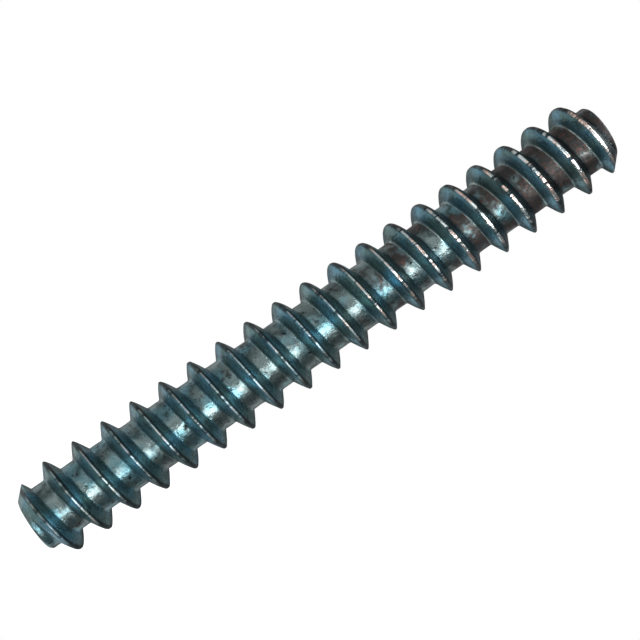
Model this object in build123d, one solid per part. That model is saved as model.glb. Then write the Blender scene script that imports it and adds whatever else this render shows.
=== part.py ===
from build123d import *
from math import cos, radians, tan
import os

# Driving dimensions of the threaded rod, in millimetres and degrees.
rod_length = 60.0        # between the two square-cut ends
crest_diameter = 8.0     # over the thread's crests
core_diameter = 5.3      # across the round core between the turns
pitch = 3.0              # advance in one turn, with a single right-hand start
flank_angle = 60.0       # between the two flanks of the ridge
crest_width = 0.16       # narrow land along the top of the ridge
end_diameter = 4.8       # flat disc left at each end by the bevel
bevel_angle = 45.0       # of the bevel at each end, from the rod's axis

# The bevel's cone starts a little outside the crests, so that it cuts the ridge cleanly.
crest_margin = 0.02

# A turn of the skin is made of this many short patches, side by side.
patches_per_turn = 6

# Sizes that follow.
crest_radius = crest_diameter / 2
core_radius = core_diameter / 2
ridge_height = crest_radius - core_radius
flank_width = ridge_height * tan(radians(flank_angle / 2))
band_width = pitch - crest_width - 2 * flank_width
blank_radius = crest_radius + crest_margin
bevel_length = (blank_radius - end_diameter / 2) / tan(radians(bevel_angle))

# One pitch of the section through the axis, as height and radius: up the core's
# band, out along the lower flank, across the crest and back down the upper flank.
section = [
    (0, core_radius),
    (band_width, core_radius),
    (band_width + flank_width, crest_radius),
    (band_width + flank_width + crest_width, crest_radius),
    (pitch, core_radius),
]

# A circular arc's middle control point lies further out than its ends and weighs less.
arc_cosine = cos(radians(180 / patches_per_turn))


def arc_points(height, radius, first_turn):
    """Control points of a short rising arc: its start, where its end tangents meet, its end."""
    points = []
    for share, distance in ((0, radius), (0.5, radius / arc_cosine), (1, radius)):
        turns = first_turn + share / patches_per_turn
        points.append(Vector(distance, 0, height + pitch * turns).rotate(Axis.Z, 360 * turns))
    return points


def patch(low, high, first_turn):
    """The ruled patch between two points of the section, over one part of a turn.

    Its control points weigh less the further out they are. That leaves its shape as
    it is and spaces its own coordinates so that straight chords lie close to it.
    """
    points = [list(pair) for pair in zip(arc_points(*low, first_turn), arc_points(*high, first_turn))]
    row_weights = [1 / max(radius, core_radius) for height, radius in (low, high)]
    weights = [[share * weight for weight in row_weights] for share in (1, arc_cosine, 1)]
    return Face.make_bezier_surface(points, weights)


def patched_turn(low, high):
    """The patches of one whole turn between two points of the section."""
    return [patch(low, high, part / patches_per_turn) for part in range(patches_per_turn)]


def turn_of_skin():
    """The skin of one turn: band, lower flank, crest and upper flank."""
    faces = []
    for low, high in zip(section, section[1:]):
        faces += patched_turn(low, high)
    return faces


def turn_end():
    """The faces that close the skin below its first turn or above its last.

    One is flat, in the half-plane where the turns meet, with the section as its
    outer side. The others are a screw face from the axis out to the core's helix.
    """
    outer_side = [(radius, 0, height) for height, radius in section]
    flat_face = Face(Wire.make_polygon([(0, 0, 0), *outer_side, (0, 0, pitch)], close=True))
    return [flat_face, *patched_turn((0, 0), (0, core_radius))]


def lifted(faces, turns):
    """The same faces, this many turns higher."""
    return [face.moved(Location((0, 0, turns * pitch))) for face in faces]


def long_thread():
    """A closed solid of whole turns that runs at least one turn past each end of the rod."""
    lowest_turn = -1
    highest_turn = int(rod_length // pitch) + 2
    skin, end_faces = turn_of_skin(), turn_end()
    faces = lifted(end_faces, lowest_turn) + lifted(end_faces, highest_turn)
    for turn in range(lowest_turn, highest_turn):
        faces += lifted(skin, turn)
    return Solid(Shell(faces))


def bevelled_blank():
    """The plain round bar that the thread is trimmed to: square ends with a bevel at each."""
    side = [
        (0, 0),
        (end_diameter / 2, 0),
        (blank_radius, bevel_length),
        (blank_radius, rod_length - bevel_length),
        (end_diameter / 2, rod_length),
        (0, rod_length),
    ]
    half_section = Plane.XZ * make_face(Polyline(*side, close=True))
    return revolve(half_section, Axis.Z)


threaded_rod = long_thread() & bevelled_blank()

os.makedirs("parts", exist_ok=True)
export_step(threaded_rod, "parts/threaded_rod.step")
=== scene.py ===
"""A short threaded rod of blue zinc-plated steel, standing on its end in a white studio."""

import logging
import math
from dataclasses import dataclass, field
from enum import Enum

import bmesh
import bpy
import numpy as np
from mathutils import Matrix, Vector


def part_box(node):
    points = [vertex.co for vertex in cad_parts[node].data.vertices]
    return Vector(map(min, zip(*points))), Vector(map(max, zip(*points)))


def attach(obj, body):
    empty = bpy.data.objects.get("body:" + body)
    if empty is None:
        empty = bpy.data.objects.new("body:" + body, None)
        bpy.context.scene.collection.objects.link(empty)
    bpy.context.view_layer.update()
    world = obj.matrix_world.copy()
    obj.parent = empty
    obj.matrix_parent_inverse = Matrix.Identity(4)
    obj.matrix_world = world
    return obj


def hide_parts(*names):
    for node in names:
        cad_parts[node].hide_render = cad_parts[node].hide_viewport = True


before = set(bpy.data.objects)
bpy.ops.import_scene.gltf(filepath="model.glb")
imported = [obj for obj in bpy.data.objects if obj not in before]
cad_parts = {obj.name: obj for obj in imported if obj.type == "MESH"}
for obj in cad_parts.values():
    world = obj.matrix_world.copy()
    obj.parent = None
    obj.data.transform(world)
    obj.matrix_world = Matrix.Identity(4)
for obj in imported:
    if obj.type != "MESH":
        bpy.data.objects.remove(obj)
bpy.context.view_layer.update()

log = logging.getLogger("threaded_rod")

Colour = tuple[float, float, float]
Factors = tuple[float, float, float]
Span = tuple[float, float]
Socket = bpy.types.NodeSocket
Setting = Socket | float | Colour

MM = 0.001
TAU = 2 * math.pi
IMAGE_SIDE = 640

NODE = "threaded_rod"
PIECE = "rod_surface"
THREAD_MAP = "thread_map"
WHITE = (1.0, 1.0, 1.0)


class Pattern(Enum):
    """What a pattern in a finish follows."""

    BODY = "the rod's own coordinates"
    THREAD = "the run of the thread and the way across it"


class End(Enum):
    """An end of the rod, with the seed of its saw marks."""

    LOWER = 17
    UPPER = 18


class Share(Enum):
    """How far a point belongs to a part of the thread, from nought to one, by its name in the mesh."""

    CREST = "crest_share"
    FLANK = "flank_share"
    ROOT = "root_share"
    FOOT = "foot_share"
    LEE = "lee_share"
    PIT = "pit_share"
    CAP = "cap_share"


def smooth_min(first: np.ndarray, second: np.ndarray, width: float) -> np.ndarray:
    """The lower of two heights, with the corner between them rounded off.

    Formula: the lower height, less a quarter of the width times the square of the
    share of the width by which the two heights are closer than it.

    Args:
        first: One height at each point.
        second: The other height at each point.
        width: Difference of heights over which the corner is rounded.

    Returns:
        The rounded lower height at each point.
    """
    closeness = np.maximum(width - np.abs(first - second), 0) / width
    return np.minimum(first, second) - closeness**2 * width / 4


def smooth_max(first: np.ndarray, second: np.ndarray, width: float) -> np.ndarray:
    """The higher of two heights, with a fillet in the corner: smooth_min upside down."""
    return -smooth_min(-first, -second, width)


def four_cornered(corners: list[np.ndarray]) -> np.ndarray:
    """Faces in rows of four vertex numbers, from one array of numbers for each corner."""
    return np.stack(corners, axis=-1).reshape(-1, 4)


def round_axis(radius: np.ndarray, angle: np.ndarray, height: np.ndarray) -> np.ndarray:
    """Points from their distances to the axis, directions round it and heights."""
    return np.stack([radius * np.cos(angle), radius * np.sin(angle), height], axis=-1)


@dataclass(frozen=True)
class Ripple:
    """Smooth uneven relief, made of a few plane waves in random directions.

    The spread is how many times as close together as the wavelength says the waves
    may be, from the least to the most.
    """

    seed: int
    wavelength: float
    size: float = 1.0
    waves: int = 16
    spread: Span = (0.6, 1.5)

    def at(self, points: np.ndarray) -> np.ndarray:
        """The relief at each point, mostly within its size either way.

        Formula: the size times the sum of the cosines of (wave vector times point,
        plus phase), divided by the square root of twice their number.

        Args:
            points: Coordinates, with the axes in the last dimension.

        Returns:
            One value for each point.
        """
        random = np.random.default_rng(self.seed)
        vectors = random.normal(size=(points.shape[-1], self.waves))
        vectors *= TAU / self.wavelength / np.linalg.norm(vectors, axis=0)
        vectors *= random.uniform(*self.spread, self.waves)
        phases = random.uniform(0, TAU, self.waves)
        waves = np.cos(points @ vectors + phases)
        return self.size * waves.sum(axis=-1) / math.sqrt(2 * self.waves)


@dataclass
class Patchwork:
    """Grids of quads and the values that their points carry, gathered for one mesh."""

    points: list[np.ndarray] = field(default_factory=list)
    quads: list[np.ndarray] = field(default_factory=list)
    corners: list[np.ndarray] = field(default_factory=list)
    shares: list[np.ndarray] = field(default_factory=list)
    count: int = 0

    def add(self, points: np.ndarray, quads: np.ndarray, corners: np.ndarray, shares: np.ndarray) -> None:
        """Adds one grid.

        Args:
            points: One row of x, y and z for each vertex.
            quads: Four vertex numbers for each face, counted within these points.
            corners: The thread map's two coordinates at each corner of each face.
            shares: One row of the shares for each vertex, in the order of Share.
        """
        self.points.append(points)
        self.quads.append(quads + self.count)
        self.corners.append(corners)
        self.shares.append(shares)
        self.count += len(points)

    def mesh(self, name: str, weld: float) -> bpy.types.Mesh:
        """One closed, smooth-shaded mesh of all the grids.

        Args:
            name: Name of the mesh.
            weld: Distance within which two vertices are the same one.

        Returns:
            The mesh, with its shares as attributes and its thread map.
        """
        mesh = bpy.data.meshes.new(name)
        mesh.from_pydata(np.concatenate(self.points).tolist(), [], np.concatenate(self.quads).tolist())
        shares = np.concatenate(self.shares).astype(np.float32)
        for column, share in enumerate(Share):
            attribute = mesh.attributes.new(share.value, "FLOAT", "POINT")
            attribute.data.foreach_set("value", np.ascontiguousarray(shares[:, column]))
        thread_map = mesh.uv_layers.new(name=THREAD_MAP)
        thread_map.data.foreach_set("uv", np.concatenate(self.corners).astype(np.float32).ravel())
        work = bmesh.new()
        work.from_mesh(mesh)
        bmesh.ops.remove_doubles(work, verts=work.verts, dist=weld)
        bmesh.ops.recalc_face_normals(work, faces=work.faces)
        work.to_mesh(mesh)
        work.free()
        mesh.shade_smooth()
        return mesh


@dataclass(frozen=True)
class Pit:
    """One oval pit in the core, which slants up to the left.

    Lengths are in metres, and the azimuth is in degrees from -Y. The slant is given
    by its sine and cosine.
    """

    height: float
    azimuth: float
    length: float
    width: float
    depth: float
    slant_sine: float = 0.6
    slant_cosine: float = 0.8

    def at(self, angle: np.ndarray, height: np.ndarray, core_radius: float) -> np.ndarray:
        """Depth of the pit.

        Formula: its depth times a bell curve of the fourth power of the distance from
        its middle, measured in its half length and half width.

        Args:
            angle: Angle round the axis at each point, from +X towards +Y.
            height: Height above the lower end at each point.
            core_radius: Radius of the core.

        Returns:
            The depth at each point.
        """
        middle = math.radians(self.azimuth - 90)
        around = np.mod(angle - middle + math.pi, TAU) - math.pi
        right, up = around * core_radius, height - self.height
        along = self.slant_sine * up - self.slant_cosine * right
        aside = self.slant_cosine * up + self.slant_sine * right
        distance = (along / self.length) ** 2 + (aside / self.width) ** 2
        return self.depth * np.exp(-(distance**2))


@dataclass(frozen=True)
class Wear:
    """How the rod's surface departs from its drawn form. Lengths are in metres.

    Spans give the least and the most. That of pit_places is in widths of the core's band.
    """

    crest_wobbles: tuple[Ripple, ...] = (
        Ripple(seed=13, wavelength=6 * MM, size=0.03 * MM),
        Ripple(seed=14, wavelength=1.5 * MM, size=0.015 * MM),
    )
    crest_loss: Ripple = Ripple(seed=15, wavelength=4 * MM, size=0.04 * MM)
    dimples: Ripple = Ripple(seed=16, wavelength=1.7 * MM, size=0.014 * MM)
    flank_swell: float = 0.08 * MM
    side_swell: float = 0.24 * MM
    side_swell_start: float = 18 * MM
    side_swell_full: float = 38 * MM
    nick_seed: int = 11
    nick_count: int = 70
    nick_depths: Span = (0.033 * MM, 0.11 * MM)
    nick_lengths: Span = (0.128 * MM, 0.48 * MM)
    pit_seed: int = 12
    pit_count: int = 34
    pit_radii: Span = (0.08 * MM, 0.16 * MM)
    pit_depths: Span = (0.024 * MM, 0.06 * MM)
    pit_stretch: float = 1.4
    pit_places: Span = (0.25, 0.75)
    placed_pits: tuple[Pit, ...] = (
        Pit(height=15.4 * MM, azimuth=12, length=0.26 * MM, width=0.11 * MM, depth=0.2 * MM),
        Pit(height=9.1 * MM, azimuth=33, length=0.2 * MM, width=0.14 * MM, depth=0.07 * MM),
        Pit(height=5.7 * MM, azimuth=-3, length=0.17 * MM, width=0.12 * MM, depth=0.07 * MM),
        Pit(height=27.7 * MM, azimuth=31, length=0.18 * MM, width=0.12 * MM, depth=0.06 * MM),
    )

    def crest_shift(self, run: np.ndarray) -> np.ndarray:
        """How far the crest strays along the axis: the sum of two ripples of the distance along it."""
        return sum(wobble.at(run[..., None]) for wobble in self.crest_wobbles)

    def dimple_depth(self, place: np.ndarray) -> np.ndarray:
        """Depth of the shallow unevenness of bands and flanks: a ripple of the place, within its size."""
        return np.clip(self.dimples.at(place), -self.dimples.size, self.dimples.size)

    def swell(self, angle: np.ndarray, height: np.ndarray) -> np.ndarray:
        """How far the flanks stand proud of straight ones half-way down.

        Formula: a little everywhere, and more on the -X side, by the square of the
        direction's cosine, times a smooth step up the rod.

        Args:
            angle: Direction round the axis, in radians from +X.
            height: Height above the lower end.

        Returns:
            The swelling at each point.
        """
        start, full = self.side_swell_start, self.side_swell_full
        up = np.clip((height - start) / (full - start), 0, 1)
        aside = np.clip(-np.cos(angle), 0, 1) ** 2
        return self.flank_swell + self.side_swell * aside * up * up * (3 - 2 * up)

    def crest_depth(self, run: np.ndarray, whole_run: float) -> np.ndarray:
        """Depth by which the crest is worn down.

        Formula: the upper half of a ripple of the distance along the crest or, where
        it is more, the depth of a dent that a knock has left: a bell curve of the
        distance from the dent's middle.

        Args:
            run: Distance along the crest at each point.
            whole_run: Length of the whole crest.

        Returns:
            The depth at each point.
        """
        depth = np.clip(self.crest_loss.at(run[..., None]), 0, self.crest_loss.size)
        random = np.random.default_rng(self.nick_seed)
        for place in random.uniform(0, whole_run, self.nick_count):
            bell = np.exp(-(((run - place) / random.uniform(*self.nick_lengths)) ** 2))
            depth = np.maximum(depth, random.uniform(*self.nick_depths) * bell)
        return depth

    def pits(self, run: np.ndarray, across: np.ndarray, whole_run: float, band: float) -> np.ndarray:
        """Depth of the small pits that are scattered over the core's band.

        Formula: for each pit, its depth times a bell curve of the distance from its
        middle, measured along the thread and across it.

        Args:
            run: Distance along the band at each point.
            across: Distance across the thread from the band's lower edge.
            whole_run: Length of the whole band.
            band: Width of the band.

        Returns:
            The depth at each point.
        """
        random = np.random.default_rng(self.pit_seed)
        depth = np.zeros_like(run)
        for place in random.uniform(0, whole_run, self.pit_count):
            middle = band * random.uniform(*self.pit_places)
            radius = random.uniform(*self.pit_radii)
            along, aside = (run - place) / (self.pit_stretch * radius), (across - middle) / radius
            bell = np.exp(-(along**2 + aside**2))
            depth = np.maximum(depth, random.uniform(*self.pit_depths) * bell)
        return depth


@dataclass(frozen=True)
class Places:
    """Places on the rod's side.

    They are given by their turns round the axis since the lower end, the distance
    across the thread from the band's lower edge, and the height above the lower end.
    """

    turns: np.ndarray
    across: np.ndarray
    height: np.ndarray

    @property
    def angle(self) -> np.ndarray:
        """Direction round the axis, in radians from +X towards +Y."""
        return self.turns * TAU


@dataclass
class ThreadedRod:
    """The rod: one right-hand ridge round a plain core, with a square bevelled end at each end.

    The length and the crest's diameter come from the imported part. Lengths are in
    metres. The bevels are at 45 degrees.
    """

    lowest: Vector
    highest: Vector
    pitch: float = 3.0 * MM
    core_diameter: float = 5.3 * MM
    flank_angle: float = 60.0
    crest_width: float = 0.16 * MM
    end_diameter: float = 4.8 * MM
    root_fillet: float = 0.2 * MM
    crest_round: float = 0.05 * MM
    bevel_round: float = 0.1 * MM
    edge_round: float = 0.06 * MM
    edge_round_run: float = 0.15 * MM
    saw_mark_depth: float = 0.012 * MM
    saw_mark_wavelength: float = 0.5 * MM
    saw_mark_slant: float = 0.2
    saw_mark_margin: float = 0.12 * MM
    saw_mark_fade: float = 0.24 * MM
    weld: float = 0.0005 * MM
    wear: Wear = Wear()

    # How finely the surface is divided, and what draws its rows together.
    steps_round: int = 120
    steps_across: int = 34
    edge_rings: int = 6
    cap_rings: int = 24
    section_samples: int = 2001
    turning_pull: float = 0.12 * MM
    crest_pull: float = 2.5
    crest_pull_width: float = 1.2

    # How far the shares reach: from the crest in its widths, from a root in its
    # fillets, and over the lowest part of the band.
    crest_reach: float = 2.0
    foot_reach: float = 0.75
    lee_reach: float = 0.25

    @property
    def length(self) -> float:
        """Height of the rod, from one cut end to the other."""
        return self.highest.z - self.lowest.z

    @property
    def crest_radius(self) -> float:
        """Distance from the axis to the top of the ridge."""
        return (self.highest.x - self.lowest.x) / 2

    @property
    def core_radius(self) -> float:
        """Distance from the axis to the band between two turns of the ridge."""
        return self.core_diameter / 2

    @property
    def flank_slope(self) -> float:
        """How far a flank rises for each step along the axis."""
        return 1 / math.tan(math.radians(self.flank_angle / 2))

    @property
    def flank_width(self) -> float:
        """Length along the axis that a flank takes up."""
        return (self.crest_radius - self.core_radius) / self.flank_slope

    @property
    def band_width(self) -> float:
        """Length along the axis of the plain core between two turns of the ridge."""
        return self.pitch - self.crest_width - 2 * self.flank_width

    @property
    def crest_place(self) -> float:
        """Distance across the thread from the band's lower edge to the middle of the crest."""
        return self.pitch - self.flank_width - self.crest_width / 2

    @property
    def whole_run(self) -> float:
        """Length of the ridge along its crest."""
        return self.length / self.pitch * TAU * self.crest_radius

    def ridge_height(self, across: np.ndarray, swell: np.ndarray | float = 0.0) -> np.ndarray:
        """Radius of the section, with its root filleted, its crest rounded and its flanks swollen.

        Formula: the crest's radius, less the flank's slope times the distance beyond
        the crest's land, plus a parabola that is highest half-way down the flank,
        rounded off at the crest's radius above and filleted at the core's radius below.

        Args:
            across: Distance across the thread from the band's lower edge.
            swell: How far a flank stands proud of a straight one half-way down.

        Returns:
            The radius at each point.
        """
        beyond = np.abs(across - self.crest_place) - self.crest_width / 2
        down = np.clip(beyond / self.flank_width, 0, 1)
        sharp = self.crest_radius - beyond * self.flank_slope + 4 * swell * down * (1 - down)
        rounded = smooth_min(sharp, np.full_like(sharp, self.crest_radius), self.crest_round)
        return smooth_max(rounded, np.full_like(sharp, self.core_radius), self.root_fillet)

    def steps_over_section(self) -> np.ndarray:
        """Places across one pitch of the thread, closer together where the section turns.

        Formula: equal steps of a measure that grows by the section's own length, by
        its turning at the root, and most at the crest.

        Returns:
            The distances across, from nought up to just under the pitch.
        """
        fine = np.linspace(0, self.pitch, self.section_samples)
        slope = np.gradient(self.ridge_height(fine), fine)
        turning = np.abs(np.gradient(np.arctan(slope), fine))
        from_crest = (fine - self.crest_place) / (self.crest_pull_width * self.crest_width)
        density = np.hypot(1, slope) + self.turning_pull * turning
        density += self.crest_pull * np.exp(-(from_crest**2))
        measure = np.concatenate([[0], np.cumsum((density[1:] + density[:-1]) / 2)])
        wanted = np.arange(self.steps_across) / self.steps_across * measure[-1]
        return np.interp(wanted, measure, fine)

    def places_at(self, angle: np.ndarray, height: np.ndarray) -> Places:
        """The places in these directions and at these heights.

        Formula: the turns are the angle's share of a whole turn, plus the number of
        whole pitches from the thread's first turn there up to the place.

        Args:
            angle: Direction round the axis, from nought up to a whole turn.
            height: Height above the lower end.

        Returns:
            The places.
        """
        share = angle / TAU
        turns = share + np.floor((height - self.pitch * share) / self.pitch)
        return Places(turns, height - self.pitch * turns, height)

    def radius_at(self, places: Places) -> np.ndarray:
        """Radius of the worn rod's side.

        Formula: the section's radius with its crest moved a little along the axis,
        less the crest's wear, the dimples and the pits, and rounded off at the cone of
        the nearer end's bevel.

        Args:
            places: Where.

        Returns:
            The radius at each place.
        """
        wear, angle, across, height = self.wear, places.angle, places.across, places.height
        run = angle * self.crest_radius
        crest_share = self.crest_share(across)
        shifted = across + wear.crest_shift(run) * crest_share
        radius = self.ridge_height(shifted, wear.swell(angle, height))
        radius -= crest_share * wear.crest_depth(run, self.whole_run)
        radius -= (1 - crest_share) * wear.dimple_depth(round_axis(radius, angle, height))
        radius -= self.pit_depth(places)
        bevel_cone = self.end_diameter / 2 + np.minimum(height, self.length - height)
        return smooth_min(radius, bevel_cone, self.bevel_round)

    def pit_depth(self, places: Places) -> np.ndarray:
        """Depth of the deepest pit at each place.

        Args:
            places: Where.

        Returns:
            The depth at each place.
        """
        run = places.angle * self.core_radius
        whole_run = self.whole_run * self.core_radius / self.crest_radius
        pits = self.wear.pits(run, places.across, whole_run, self.band_width)
        for pit in self.wear.placed_pits:
            pits = np.maximum(pits, pit.at(places.angle, places.height, self.core_radius))
        return pits

    def past_band(self, across: np.ndarray) -> np.ndarray:
        """Distance past the nearer edge of the band, which is negative on the band itself."""
        return np.abs(across - self.band_width / 2) - self.band_width / 2

    def crest_share(self, across: np.ndarray) -> np.ndarray:
        """One along the middle of the crest, falling evenly to nought a little way down either flank."""
        reach = self.crest_reach * self.crest_width
        return np.clip(1 - np.abs(across - self.crest_place) / reach, 0, 1)

    def flank_share(self, across: np.ndarray) -> np.ndarray:
        """Nought on the band, rising to one on the flanks within a fillet's width."""
        return np.clip(self.past_band(across) / self.root_fillet + 0.5, 0, 1)

    def root_share(self, across: np.ndarray) -> np.ndarray:
        """One along the root of the lower flank, falling evenly to nought a fillet's width away."""
        return np.clip(1 - np.abs(across - self.band_width) / self.root_fillet, 0, 1)

    def foot_share(self, across: np.ndarray) -> np.ndarray:
        """One along the foot of each flank, just past its root, falling to nought on either side."""
        fillets = self.past_band(across) / self.root_fillet
        return np.clip(1 - np.abs(fillets - self.foot_reach) / self.foot_reach, 0, 1)

    def lee_share(self, across: np.ndarray) -> np.ndarray:
        """One on the upper flank, falling to nought over the lowest part of the band above it."""
        on_flank = np.clip((across - self.crest_place) / self.crest_width, 0, 1)
        return np.maximum(on_flank, np.clip(1 - across / (self.lee_reach * self.band_width), 0, 1))

    def shares(self, places: Places) -> np.ndarray:
        """The shares of places on the side.

        Args:
            places: Where.

        Returns:
            The shares, one row for each place, in the order of Share.
        """
        pit = np.clip(self.pit_depth(places) / max(self.wear.pit_depths), 0, 1)
        parts = (self.crest_share, self.flank_share, self.root_share, self.foot_share, self.lee_share)
        shares = [part(places.across) for part in parts] + [pit, np.zeros_like(pit)]
        return np.stack(shares, axis=-1).reshape(-1, len(Share))

    def level(self, end: End, depth: np.ndarray | float) -> np.ndarray | float:
        """Height of what lies at a depth below an end's flat face."""
        return depth if end is End.LOWER else self.length - depth

    def add_side(self, patchwork: Patchwork) -> None:
        """Adds the threaded side, from one end's rounded edge to the other's.

        Formula: a grid whose one parameter is the angle and the other the place in
        the thread. Each row climbs one pitch in a turn and so meets the row one
        pitch further up. Heights beyond an end stop at it.

        Args:
            patchwork: Where the grid goes.
        """
        rounds, steps = self.steps_round, self.steps_across
        turn_count = math.ceil(self.length / self.pitch) + 1
        row_count = (turn_count + 1) * steps + 1
        rows = np.arange(row_count)
        row_turn = rows // steps - 1
        row_across = self.steps_over_section()[rows % steps]
        share_of_turn = np.arange(rounds) / rounds
        height = self.pitch * (row_turn[None, :] + share_of_turn[:, None]) + row_across[None, :]
        height = np.clip(height, self.edge_round, self.length - self.edge_round)
        angle = np.broadcast_to(TAU * share_of_turn[:, None], height.shape)
        places = self.places_at(angle, height)
        points = round_axis(self.radius_at(places), angle, height).reshape(-1, 3)

        around, up = np.meshgrid(np.arange(rounds), np.arange(row_count - 1 - steps), indexing="ij")
        here = around * row_count + up
        shift = np.where(around + 1 == rounds, steps, 0)
        beside = (around + 1) % rounds * row_count + up + shift
        quads = four_cornered([here, beside, beside + 1, here + 1])
        run = TAU * self.crest_radius * (row_turn[up] + around / rounds)
        next_run = TAU * self.crest_radius * (row_turn[up] + (around + 1) / rounds)
        low = row_across[up]
        high = row_across[up + 1] + self.pitch * (row_turn[up + 1] - row_turn[up])
        corners = np.stack([run, low, next_run, low, next_run, high, run, high], axis=-1)
        patchwork.add(points, quads, corners.reshape(-1, 2) / MM, self.shares(places))

    def add_end(self, patchwork: Patchwork, end: End) -> None:
        """Adds the disc at one end, with its edge rounded and saw marks across it.

        Formula: a grid of rings and angles. The first rings follow a curve from the
        bevel over the sharp corner to the flat, and the others shrink evenly to the
        centre. The saw marks sink the flat by a ripple of the place along one line.

        Args:
            patchwork: Where the grid goes.
            end: Which end it is.
        """
        rounds = self.steps_round
        angle = TAU * np.arange(rounds) / rounds
        height = np.full(rounds, self.level(end, self.edge_round))
        rim = self.radius_at(self.places_at(angle, height))
        curve = np.linspace(0, 1, self.edge_rings)
        inward = 2 * curve * (1 - curve) * self.edge_round + curve**2 * self.edge_round_run
        edge_depth = (1 - curve) ** 2 * self.edge_round
        edge_radius = rim[None, :] - inward[:, None]
        flat = np.linspace(1, 0, self.cap_rings + 1)[1:]
        flat_radius = edge_radius[-1][None, :] * flat[:, None]
        radius = np.concatenate([edge_radius, flat_radius])
        depth = np.concatenate([np.repeat(edge_depth[:, None], rounds, axis=1), np.zeros_like(flat_radius)])

        x, y = radius * np.cos(angle), radius * np.sin(angle)
        line = (x + self.saw_mark_slant * y)[..., None]
        marks = Ripple(end.value, self.saw_mark_wavelength).at(line)
        fade = np.clip((rim[None, :] - radius - self.saw_mark_margin) / self.saw_mark_fade, 0, 1)
        depth = depth + fade * self.saw_mark_depth * (1 + np.clip(marks, -1, 1)) / 2
        points = np.stack([x, y, self.level(end, depth)], axis=-1).reshape(-1, 3)

        ring_count = len(radius)
        shares = np.zeros((ring_count * rounds, len(Share)))
        shares[rounds:, list(Share).index(Share.CAP)] = 1
        ring, around = np.meshgrid(np.arange(ring_count - 1), np.arange(rounds), indexing="ij")
        here = ring * rounds + around
        beside = ring * rounds + (around + 1) % rounds
        quads = four_cornered([here, here + rounds, beside + rounds, beside])
        patchwork.add(points, quads, points[quads.ravel(), :2] / MM, shares)

    def build(self) -> bpy.types.Object:
        """The whole rod as one closed object.

        Returns:
            The object, at the origin and linked to the scene.
        """
        patchwork = Patchwork()
        self.add_side(patchwork)
        for end in End:
            self.add_end(patchwork, end)
        rod = bpy.data.objects.new(PIECE, patchwork.mesh(PIECE, self.weld))
        bpy.context.scene.collection.objects.link(rod)
        return rod


@dataclass(frozen=True)
class Grain:
    """A noise: its size in millimetres, its finer layers, their strength, and what it follows."""

    size: float
    detail: float
    rough: float
    pattern: Pattern = Pattern.BODY
    stretch: Factors = (1.0, 1.0, 1.0)


@dataclass(frozen=True)
class Ramp:
    """A smooth step from low, where a value is at start, to high, where it is at stop."""

    start: float
    stop: float
    low: Setting = 0.0
    high: Setting = 1.0


class NodeGraph:
    """A node tree, with short methods that add nodes to it."""

    def __init__(self, tree: bpy.types.NodeTree) -> None:
        """Takes hold of the tree."""
        self.tree = tree

    def feed(self, target: Socket, value: Setting) -> None:
        """Links a socket to the target, or sets the target to a number, colour or vector.

        Args:
            target: An input of a node.
            value: What it takes.
        """
        if isinstance(value, bpy.types.NodeSocket):
            self.tree.links.new(value, target)
        elif isinstance(value, tuple) and target.type == "RGBA":
            target.default_value = (*value, 1.0)
        else:
            target.default_value = value

    def node(self, kind: str, inputs: dict[str | int, Setting], **options: str) -> bpy.types.Node:
        """Adds a node.

        Args:
            kind: The kind of node.
            inputs: What its inputs take, by their names or places.
            options: Settings of the node itself.

        Returns:
            The node.
        """
        node = self.tree.nodes.new(kind)
        for name, option in options.items():
            setattr(node, name, option)
        for name, value in inputs.items():
            self.feed(node.inputs[name], value)
        return node

    def axes(self, place: Socket) -> list[Socket]:
        """The three coordinates of a place or a direction."""
        return list(self.node("ShaderNodeSeparateXYZ", {"Vector": place}).outputs)

    def ramp(self, value: Socket, ramp: Ramp) -> Socket:
        """The level that a ramp gives to a value.

        Args:
            value: What is held against the ramp.
            ramp: The ramp.

        Returns:
            The socket that holds the level.
        """
        levels = {"From Min": ramp.start, "From Max": ramp.stop, "To Min": ramp.low, "To Max": ramp.high}
        node = self.node("ShaderNodeMapRange", {"Value": value, **levels}, interpolation_type="SMOOTHSTEP")
        return node.outputs["Result"]


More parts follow.
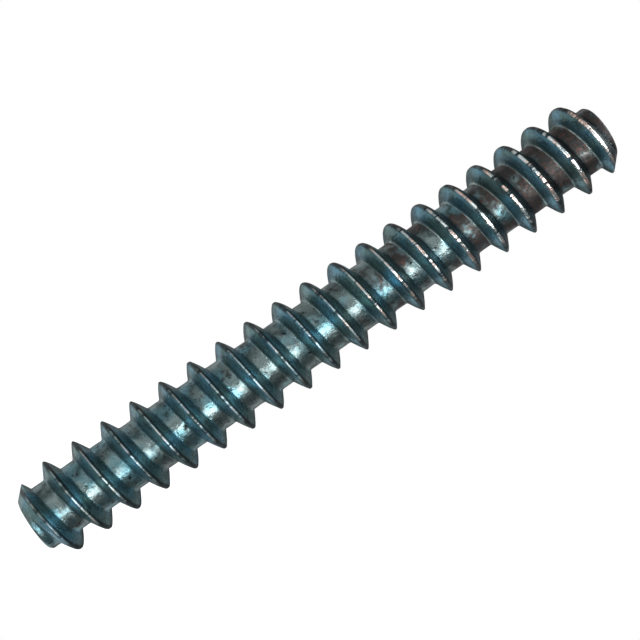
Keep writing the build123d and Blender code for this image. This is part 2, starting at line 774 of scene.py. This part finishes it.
class ShaderGraph(NodeGraph):
    """A node-based material."""

    def __init__(self, name: str) -> None:
        """Makes the material, with only its shader and output.

        Args:
            name: Name of the material.
        """
        self.material = bpy.data.materials.new(name)
        self.material.use_nodes = True
        super().__init__(self.material.node_tree)
        self.tree.nodes.clear()
        self.shader = self.node("ShaderNodeBsdfPrincipled", {})
        self.node("ShaderNodeOutputMaterial", {"Surface": self.shader.outputs["BSDF"]})

    def place(self, pattern: Pattern, stretch: Factors) -> Socket:
        """Coordinates in millimetres for a pattern.

        Args:
            pattern: Whether the pattern follows the body or the thread.
            stretch: Factor on each coordinate: under one draws the pattern out.

        Returns:
            The socket that holds the coordinates.
        """
        if pattern is Pattern.THREAD:
            found, scale = self.node("ShaderNodeUVMap", {}, uv_map=THREAD_MAP).outputs["UV"], 1.0
        else:
            found, scale = self.node("ShaderNodeTexCoord", {}).outputs["Object"], 1 / MM
        factors = tuple(scale * factor for factor in stretch)
        return self.node("ShaderNodeMapping", {"Vector": found, "Scale": factors}).outputs["Vector"]

    def noise(self, grain: Grain) -> Socket:
        """Uneven values from nought to one, mostly near a half.

        Args:
            grain: The noise's size, layers and stretch.

        Returns:
            The socket that holds the values.
        """
        place = self.place(grain.pattern, grain.stretch)
        layers = {"Scale": 1 / grain.size, "Detail": grain.detail, "Roughness": grain.rough}
        return self.node("ShaderNodeTexNoise", {"Vector": place, **layers}).outputs["Fac"]

    def share(self, share: Share) -> Socket:
        """One of the shares that the mesh carries."""
        return self.node("ShaderNodeAttribute", {}, attribute_name=share.value).outputs["Fac"]

    def plus(self, first: Setting, second: Setting) -> Socket:
        """The sum of two values."""
        return self.node("ShaderNodeMath", {0: first, 1: second}, operation="ADD").outputs["Value"]

    def times(self, first: Setting, second: Setting) -> Socket:
        """The product of two values."""
        return self.node("ShaderNodeMath", {0: first, 1: second}, operation="MULTIPLY").outputs["Value"]

    def blend(self, share: Setting, first: Setting, second: Setting) -> Socket:
        """A mixture of two colours.

        Args:
            share: How much of the second colour there is, from nought to one.
            first: The first colour.
            second: The second colour.

        Returns:
            The socket that holds the mixture.
        """
        node = self.node("ShaderNodeMix", {"Factor": share}, data_type="RGBA")
        colours = [socket for socket in node.inputs if socket.type == "RGBA"]
        self.feed(colours[0], first)
        self.feed(colours[1], second)
        return next(socket for socket in node.outputs if socket.type == "RGBA")

    def bump(self, height: Socket, depth: float, below: Socket | None) -> Socket:
        """Fine relief in the shading, of a depth in metres, on top of a coarser one if there is any."""
        inputs = {"Height": height, "Distance": depth} | ({} if below is None else {"Normal": below})
        return self.node("ShaderNodeBump", inputs).outputs["Normal"]

    def set(self, **values: Setting) -> bpy.types.Material:
        """Sets or links the shader's sockets.

        Args:
            values: What each socket takes, by the socket's name with _ for spaces.

        Returns:
            The finished material.
        """
        for name, value in values.items():
            self.feed(self.shader.inputs[name.replace("_", " ")], value)
        return self.material


class RodGraph(ShaderGraph):
    """The rod's material, with the shares, coordinates and noises that its layers read."""

    def __init__(self, name: str) -> None:
        """Makes the material and what its layers have in common.

        Args:
            name: Name of the material.
        """
        super().__init__(name)
        shares = (self.share(share) for share in Share)
        self.crest, self.flank, self.root, self.foot, self.lee, self.pit, self.cap = shares
        body = self.place(Pattern.BODY, (1.0, 1.0, 1.0))
        _, self.front, self.height = self.axes(body)
        self.blotches = self.noise(Grain(1.1, 4.0, 0.62))
        self.specks = self.noise(Grain(0.3, 3.0, 0.65))
        self.grain = self.noise(Grain(0.09, 2.0, 0.5))
        self.tints = self.noise(Grain(2.86, 3.0, 0.6))
        self.stains = self.noise(Grain(2.0, 5.0, 0.62))
        self.streaks = self.noise(Grain(0.35, 3.0, 0.6, Pattern.THREAD, (0.16, 1.0, 1.0)))
        self.rolling = self.noise(Grain(0.14, 2.0, 0.5, Pattern.THREAD, (0.03, 1.0, 1.0)))
        self.beads = self.noise(Grain(0.6, 4.0, 0.7, Pattern.THREAD, (1.0, 0.15, 1.0)))
        self.crest_tints = self.noise(Grain(1.4, 2.0, 0.55, Pattern.THREAD, (1.0, 0.15, 1.0)))


@dataclass(frozen=True)
class Layer:
    """The dark tones that the layers of the finish share, for real blotches, specks and grime and for
    painted shade. Colours are linear.
    """

    blotch_and_shade: Colour = (0.022, 0.036, 0.038)
    speck_and_shade: Colour = (0.004, 0.007, 0.008)
    grime_and_shade: Colour = (0.009, 0.013, 0.015)


@dataclass(frozen=True)
class Plating(Layer):
    """The zinc itself: grey-teal bands and teal flanks, with dark blotches, streaks and specks."""

    band: Colour = (0.125, 0.165, 0.165)
    band_blue: Colour = (0.085, 0.18, 0.205)
    flank: Colour = (0.1, 0.19, 0.195)
    flank_blue: Colour = (0.1, 0.245, 0.32)
    tinting: Ramp = Ramp(0.42, 0.62)
    less_on_flanks: Ramp = Ramp(0.0, 1.0, 1.0, 0.35)
    mottling: Ramp = Ramp(0.45, 0.66, 0.0, 0.75)
    streaking: Ramp = Ramp(0.5, 0.72, 0.0, 0.5)
    speckling: Ramp = Ramp(0.56, 0.64)
    speckled_patches: Ramp = Ramp(0.42, 0.58)

    def colour(self, graph: RodGraph) -> Socket:
        """The plating's colour.

        Args:
            graph: The rod's material.

        Returns:
            The socket that holds the colour.
        """
        tint = graph.ramp(graph.tints, self.tinting)
        on_band = graph.blend(tint, self.band, self.band_blue)
        on_flank = graph.blend(tint, self.flank, self.flank_blue)
        zinc = graph.blend(graph.flank, on_band, on_flank)
        exposed = graph.ramp(graph.flank, self.less_on_flanks)
        mottled = graph.times(graph.ramp(graph.blotches, self.mottling), exposed)
        zinc = graph.blend(mottled, zinc, self.blotch_and_shade)
        zinc = graph.blend(graph.ramp(graph.streaks, self.streaking), zinc, self.blotch_and_shade)
        patches = graph.ramp(graph.blotches, self.speckled_patches)
        speckled = graph.times(graph.ramp(graph.specks, self.speckling), patches)
        return graph.blend(graph.times(speckled, exposed), zinc, self.speck_and_shade)


@dataclass(frozen=True)
class StainsAndPaintedShade(Layer):
    """Brown stains that thicken up the rod, and painted shade on the upper flanks, deepening up the rod, at
    the feet of the flanks and in the pits. Heights are in mm.
    """

    brown: Colour = (0.032, 0.027, 0.026)
    rust: Colour = (0.088, 0.045, 0.035)
    stain_rise: Ramp = Ramp(24.0, 58.0, -0.16, 0.12)
    stain_edges: Ramp = Ramp(0.42, 0.6)
    less_on_flanks: Ramp = Ramp(0.2, 0.9, 0.94, 0.2)
    rusting: Ramp = Ramp(0.5, 0.72)
    # Painted shade: the feet of the flanks, the upper flanks up the rod and the pits are darkened.
    foot_shade: Ramp = Ramp(0.0, 1.0, 0.0, 0.4)
    upper_flank_shade_rise: Ramp = Ramp(24.0, 58.0, 0.0, 0.9)
    pit_shade: Ramp = Ramp(0.3, 0.9)

    def over(self, zinc: Socket, graph: RodGraph) -> tuple[Socket, Socket]:
        """Lays the stains, and the painted shade on the upper flanks, in the feet and in the pits, over a
        colour.

        Args:
            zinc: The colour below.
            graph: The rod's material.

        Returns:
            The new colour, and how much of the surface is stained.
        """
        rise = graph.ramp(graph.height, self.stain_rise)
        stain = graph.ramp(graph.plus(graph.stains, rise), self.stain_edges)
        stain = graph.times(stain, graph.ramp(graph.flank, self.less_on_flanks))
        brown = graph.blend(graph.ramp(graph.specks, self.rusting), self.brown, self.rust)
        zinc = graph.blend(stain, zinc, brown)
        # Painted shade at the feet of the flanks, next to the roots.
        zinc = graph.blend(graph.ramp(graph.foot, self.foot_shade), zinc, self.blotch_and_shade)
        # Painted shade on the upper flanks, deepening towards the upper end.
        grime_and_shade = graph.times(graph.lee, graph.ramp(graph.height, self.upper_flank_shade_rise))
        zinc = graph.blend(grime_and_shade, zinc, self.grime_and_shade)
        # Painted shade in the pits.
        return graph.blend(graph.ramp(graph.pit, self.pit_shade), zinc, self.speck_and_shade), stain


@dataclass(frozen=True)
class RubbingAndPaintedLight(Layer):
    """Crests bare towards -Y and the upper end and tarnished elsewhere, with painted shade on their sides
    away from -Y, painted shade beside the crest on the upper flank, a painted highlight along the lower
    flank's root, and cut ends.

    Places and heights are in millimetres.
    """

    warm_crest: Colour = (0.72, 0.54, 0.47)
    cool_crest: Colour = (0.66, 0.72, 0.72)
    root_highlight: Colour = (0.42, 0.52, 0.5)
    saw_cut: Colour = (0.3, 0.33, 0.34)
    away_from_front: Ramp = Ramp(-3.2, -2.2)
    shade_beside_crest: Ramp = Ramp(0.05, 0.35, 0.0, 0.85)
    tarnish_and_shade_aside: Ramp = Ramp(0.0, 1.0, 0.4, 1.0)
    crest_tarnish_and_shade: Ramp = Ramp(0.1, 0.7, 0.0, 0.85)
    crest_line: Ramp = Ramp(0.1, 0.6)
    line_gaps: Ramp = Ramp(0.42, 0.52, 0.75, 0.0)
    root_line: Ramp = Ramp(0.6, 0.9)
    root_highlight_rise: Ramp = Ramp(16.0, 34.0, 0.05, 0.75)
    root_highlight_breaks: Ramp = Ramp(0.35, 0.55, 1.0, 0.25)
    bare_widening: Ramp = Ramp(24.0, 58.0, -0.74, -0.36)
    bare_edges: Ramp = Ramp(0.0, 0.18)
    bare_beads: Ramp = Ramp(0.41, 0.54)
    bare_rise: Ramp = Ramp(28.0, 50.0, 0.3, 1.0)
    less_bare_and_shaded_aside: Ramp = Ramp(0.0, 1.0, 1.0, 0.06)
    crest_tinting: Ramp = Ramp(0.42, 0.58)

    def over(self, zinc: Socket, graph: RodGraph) -> tuple[Socket, Socket]:
        """Lays the painted shade beside the crest, the tarnish with painted shade on the crests' sides, the
        painted highlight along the root, the bare crest and the saw cuts over a colour.

        Args:
            zinc: The colour below.
            graph: The rod's material.

        Returns:
            The new colour, and how bare of zinc the crest is.
        """
        # Painted shade: a dark line on the upper flank beside the crest.
        edge = graph.times(graph.lee, graph.ramp(graph.crest, self.shade_beside_crest))
        zinc = graph.blend(edge, zinc, self.speck_and_shade)
        # Tarnish on the crests, with painted shade: heavier away from -Y.
        side = graph.ramp(graph.front, self.away_from_front)
        aside = graph.ramp(side, self.tarnish_and_shade_aside)
        tarnish_and_shade = graph.times(aside, graph.ramp(graph.crest, self.crest_tarnish_and_shade))
        zinc = graph.blend(tarnish_and_shade, zinc, self.grime_and_shade)
        crest_line = graph.ramp(graph.crest, self.crest_line)
        gaps = graph.times(crest_line, graph.ramp(graph.beads, self.line_gaps))
        zinc = graph.blend(gaps, zinc, self.grime_and_shade)

        # Painted highlight: a pale line along the lower flank's root, brighter up the rod.
        rise = graph.ramp(graph.height, self.root_highlight_rise)
        root_glint = graph.times(graph.ramp(graph.root, self.root_line), rise)
        root_glint = graph.times(root_glint, graph.ramp(graph.streaks, self.root_highlight_breaks))
        zinc = graph.blend(root_glint, zinc, self.root_highlight)

        rubbed = graph.plus(graph.crest, graph.ramp(graph.height, self.bare_widening))
        beads = graph.ramp(graph.beads, self.bare_beads)
        rise = graph.ramp(graph.height, self.bare_rise)
        # Painted shade: the crests are kept from bare metal away from -Y.
        clean = graph.times(rise, graph.ramp(side, self.less_bare_and_shaded_aside))
        bare = graph.times(graph.times(graph.ramp(rubbed, self.bare_edges), beads), clean)
        crest_tint = graph.ramp(graph.crest_tints, self.crest_tinting)
        zinc = graph.blend(bare, zinc, graph.blend(crest_tint, self.warm_crest, self.cool_crest))
        return graph.blend(graph.cap, zinc, self.saw_cut), bare


@dataclass(frozen=True)
class ZincPlate:
    """Blue-passivated zinc on steel: all its layers together, and their roughness and fine relief.

    The roughness is that of the blotches, changed by stains, flanks, crests and bare
    metal. The relief's depths are in metres, from the coarsest noise to the finest.
    """

    name: str = "zinc_plated_steel"
    metal: float = 0.93
    plating: Plating = Plating()
    stains_and_painted_shade: StainsAndPaintedShade = StainsAndPaintedShade()
    rubbing_and_painted_light: RubbingAndPaintedLight = RubbingAndPaintedLight()
    roughness: Ramp = Ramp(0.35, 0.7, 0.25, 0.45)
    stain_change: float = 0.24
    flank_change: float = -0.05
    crest_change: float = 0.35
    bare_change: float = -0.5
    blotch_depth: float = 0.1 * MM
    speck_depth: float = 0.03 * MM
    rolling_depth: float = 0.012 * MM
    grain_depth: float = 0.006 * MM

    def material(self) -> bpy.types.Material:
        """The finish as a node-based material.

        Returns:
            The material.
        """
        graph = RodGraph(self.name)
        zinc, stain = self.stains_and_painted_shade.over(self.plating.colour(graph), graph)
        zinc, bare = self.rubbing_and_painted_light.over(zinc, graph)
        roughness = graph.ramp(graph.blotches, self.roughness)
        shares = (stain, graph.flank, graph.crest, bare)
        changes = (self.stain_change, self.flank_change, self.crest_change, self.bare_change)
        for share, change in zip(shares, changes):
            roughness = graph.plus(roughness, graph.times(share, change))
        relief = None
        noises = (graph.blotches, graph.specks, graph.rolling, graph.grain)
        depths = (self.blotch_depth, self.speck_depth, self.rolling_depth, self.grain_depth)
        for noise, depth in zip(noises, depths):
            relief = graph.bump(noise, depth, relief)
        return graph.set(Base_Color=zinc, Metallic=self.metal, Roughness=roughness, Normal=relief)


@dataclass(frozen=True)
class PaleFloor:
    """The studio's floor: pale, matt and glowing, so that it is white as far as the eye reaches."""

    name: str = "pale_floor"
    colour: Colour = (0.3, 0.3, 0.3)
    roughness: float = 1.0
    shine: float = 0.0
    glow: float = 0.97

    def material(self) -> bpy.types.Material:
        """The finish as a node-based material."""
        return ShaderGraph(self.name).set(
            Base_Color=self.colour,
            Roughness=self.roughness,
            Specular_IOR_Level=self.shine,
            Emission_Color=WHITE,
            Emission_Strength=self.glow,
        )


@dataclass(frozen=True)
class Camera:
    """A camera rolled so that the upright rod runs from the lower left to the upper right.

    It stands a little lower than its target. Lengths are in metres, angles in
    degrees and places in the picture in pixels.
    """

    target: Vector
    distance: float = 135 * MM
    drop: float = 9 * MM
    azimuth: float = 0.0
    slope: float = 34.7
    middle_px: tuple[float, float] = (321.7, 325.3)
    px_per_mm: float = 11.53
    sensor: float = 36.0

    def build(self) -> bpy.types.Object:
        """Makes the camera and hands it to the scene.

        Returns:
            The camera's object.
        """
        data = bpy.data.cameras.new("camera")
        data.sensor_width = self.sensor
        data.lens = self.px_per_mm / MM * self.distance * self.sensor / IMAGE_SIDE
        camera = bpy.data.objects.new("camera", data)
        bpy.context.scene.collection.objects.link(camera)
        azimuth, roll = math.radians(self.azimuth), math.radians(90 - self.slope)
        outward = Vector((math.sin(azimuth), -math.cos(azimuth), 0))
        place = self.target + outward * self.distance - Vector((0, 0, self.drop))
        back = (place - self.target).normalized()
        level = Vector((0, 0, 1)).cross(back).normalized()
        rise = back.cross(level)
        right = level * math.cos(roll) + rise * math.sin(roll)
        up = rise * math.cos(roll) - level * math.sin(roll)
        shift_right = (IMAGE_SIDE / 2 - self.middle_px[0]) / self.px_per_mm * MM
        shift_up = (self.middle_px[1] - IMAGE_SIDE / 2) / self.px_per_mm * MM
        aim = self.target + right * shift_right + up * shift_up
        back = (place - aim).normalized()
        right = (right - back * right.dot(back)).normalized()
        up = back.cross(right)
        turn = Matrix((right, up, back)).transposed()
        camera.matrix_world = Matrix.Translation(place) @ turn.to_4x4()
        bpy.context.scene.camera = camera
        return camera


@dataclass(frozen=True)
class SoftBox:
    """An oblong area light that faces the rod and isn't seen itself, except in the rod's gloss.

    Lengths are in metres, angles in degrees.
    """

    name: str
    azimuth: float
    elevation: float
    distance: float
    width: float
    height: float
    watts: float

    def build(self, target: Vector) -> bpy.types.Object:
        """Makes the light, aimed at the target.

        Args:
            target: The point that it faces.

        Returns:
            The light's object.
        """
        data = bpy.data.lights.new(self.name, "AREA")
        data.shape = "RECTANGLE"
        data.size = self.width
        data.size_y = self.height
        data.energy = self.watts
        light = bpy.data.objects.new(self.name, data)
        bpy.context.scene.collection.objects.link(light)
        azimuth, elevation = math.radians(self.azimuth), math.radians(self.elevation)
        level = math.cos(elevation)
        outward = Vector((math.sin(azimuth) * level, -math.cos(azimuth) * level, math.sin(elevation)))
        light.rotation_mode = "QUATERNION"
        light.rotation_quaternion = outward.to_track_quat("Z", "Y")
        light.location = target + outward * self.distance
        light.visible_camera = False
        return light


@dataclass(frozen=True)
class Surround:
    """The room that the rod reflects, which is plain white where it is seen directly.

    On the side of +Y it is bright, with a dim backdrop in the middle. On the side of
    -Y it is grey to the left and dark to the right, and overhead it is dark. The
    spans are shares of the direction along an axis.
    """

    behind: float = 1.0
    backdrop: float = 0.18
    left: float = 0.6
    right: float = 0.05
    overhead: float = 0.06
    seen: float = 1.0
    left_to_right: Span = (-0.15, 0.3)
    front_to_behind: Span = (0.2, 0.6)
    behind_to_backdrop: Span = (0.75, 0.93)
    across_backdrop: Span = (-0.1, 0.1)
    room_to_overhead: Span = (0.25, 0.75)

    def build(self) -> bpy.types.World:
        """Makes the world and hands it to the scene.

        Returns:
            The world.
        """
        world = bpy.data.worlds.new("surround")
        world.use_nodes = True
        graph = NodeGraph(world.node_tree)
        direction = graph.node("ShaderNodeTexCoord", {}).outputs["Generated"]
        x, y, z = graph.axes(direction)
        front = graph.ramp(x, Ramp(*self.left_to_right, self.left, self.right))
        room = graph.ramp(y, Ramp(*self.front_to_behind, front, self.behind))
        backdrop = graph.ramp(x, Ramp(*self.across_backdrop, self.backdrop, self.right))
        room = graph.ramp(y, Ramp(*self.behind_to_backdrop, room, backdrop))
        room = graph.ramp(z, Ramp(*self.room_to_overhead, room, self.overhead))
        path = graph.node("ShaderNodeLightPath", {})
        levels = {"Factor": path.outputs["Is Camera Ray"], "A": room, "B": self.seen}
        light = graph.node("ShaderNodeMix", levels).outputs["Result"]
        background = graph.tree.nodes["Background"]
        graph.feed(background.inputs["Color"], WHITE)
        graph.feed(background.inputs["Strength"], light)
        bpy.context.scene.world = world
        return world


@dataclass(frozen=True)
class Studio:
    """The plain pale floor, the surround and the soft lights.

    The tall light's second reflection, from flank to flank, gives the flanks their
    blue glints.
    """

    target: Vector
    floor_side: float = 4.0
    lights: tuple[SoftBox, ...] = (
        SoftBox("key_light", azimuth=23, elevation=0, distance=0.14, width=0.05, height=0.8, watts=1.5),
        SoftBox("fill_light", azimuth=-28, elevation=0, distance=0.2, width=0.1, height=0.5, watts=0.13),
        SoftBox("top_light", azimuth=180, elevation=84, distance=0.3, width=0.16, height=0.2, watts=0.5),
    )

    def build(self) -> list[bpy.types.Object]:
        """Makes the floor, the surround and the lights.

        Returns:
            The floor's object and the lights'.
        """
        Surround().build()
        return [self.floor()] + [light.build(self.target) for light in self.lights]

    def floor(self) -> bpy.types.Object:
        """A large flat square that the rod stands on, with no shadow and no image in the rod's gloss.

        Returns:
            The floor's object.
        """
        half = self.floor_side / 2
        mesh = bpy.data.meshes.new("floor")
        corners = [(-half, -half, 0), (half, -half, 0), (half, half, 0), (-half, half, 0)]
        mesh.from_pydata(corners, [], [(0, 1, 2, 3)])
        floor = bpy.data.objects.new("floor", mesh)
        bpy.context.scene.collection.objects.link(floor)
        floor.data.materials.append(PaleFloor().material())
        floor.visible_glossy = False
        floor.visible_shadow = False
        return floor


def main() -> None:
    """Builds the rod, the studio and the camera, and notes the sizes."""
    logging.basicConfig(level=logging.INFO, format="%(name)s: %(message)s")
    lowest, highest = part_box(NODE)
    rod = ThreadedRod(Vector(lowest), Vector(highest))
    piece = rod.build()
    piece.data.materials.append(ZincPlate().material())
    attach(piece, "root")
    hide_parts(NODE)
    log.info("%s: %d faces", piece.name, len(piece.data.polygons))

    middle = Vector((0, 0, rod.length / 2))
    Camera(middle).build()
    for made in Studio(middle).build():
        log.info("%s: placed", made.name)
    bpy.context.scene.view_settings.view_transform = "Standard"


if __name__ == "__main__":
    main()
